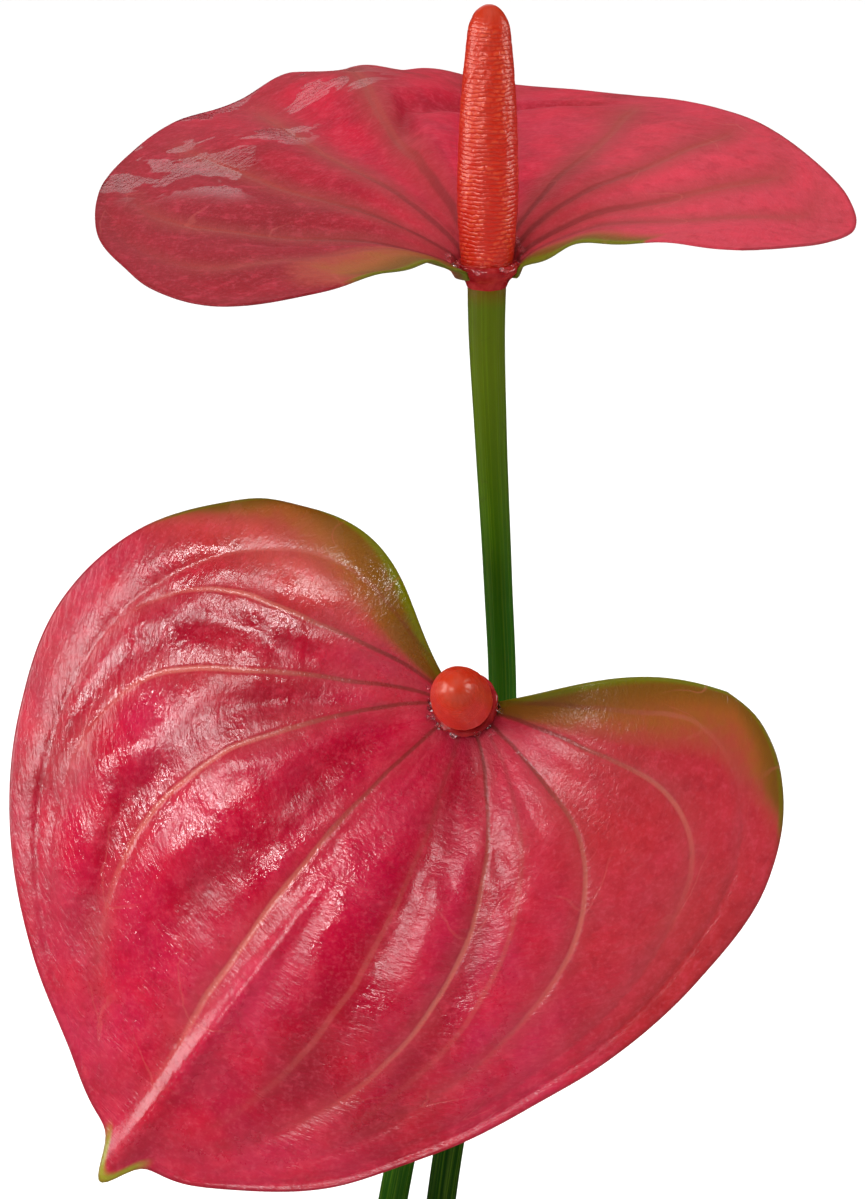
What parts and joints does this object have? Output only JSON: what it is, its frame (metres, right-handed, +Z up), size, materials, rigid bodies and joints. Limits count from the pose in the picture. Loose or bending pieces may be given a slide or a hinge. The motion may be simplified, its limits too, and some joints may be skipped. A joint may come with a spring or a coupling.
{
  "type": "potted flamingo flower",
  "caption": "Potted flamingo flower: glossy heart-shaped red bracts with upright flower spikes on long stalks above heart-shaped leaves, in a plain glazed pot.",
  "frame": {"origin": "centre of the pot's flat underside, on the surface that the pot stands on", "axes": "+Z up along the pot's axis; +Y is the side that the upper bract's tip points to; the lower flower faces -Y; +X to the right seen from -Y"},
  "size_m": [0.2802, 0.1917, 0.4145],
  "materials": {
    "pot": "satin",
    "soil": "matte",
    "stalk": "satin",
    "bract": "gloss",
    "spadix": "satin",
    "leaf": "gloss"
  },
  "bodies": {
    "root": {"pot": "pot", "soil": "soil", "upper_stalk": "stalk", "upper_bract": "bract", "upper_spadix": "spadix", "lower_stalk": "stalk", "lower_bract": "bract", "lower_spadix": "spadix", "leaf_front_left": "leaf", "leaf_front_left_stalk": "stalk", "leaf_front_right": "leaf", "leaf_front_right_stalk": "stalk", "leaf_front": "leaf", "leaf_front_stalk": "stalk", "leaf_right": "leaf", "leaf_right_stalk": "stalk", "leaf_left": "leaf", "leaf_left_stalk": "stalk", "leaf_rear_right": "leaf", "leaf_rear_right_stalk": "stalk", "leaf_rear_left": "leaf", "leaf_rear_left_stalk": "stalk", "leaf_rear": "leaf", "leaf_rear_stalk": "stalk"}
  },
  "joints": []
}
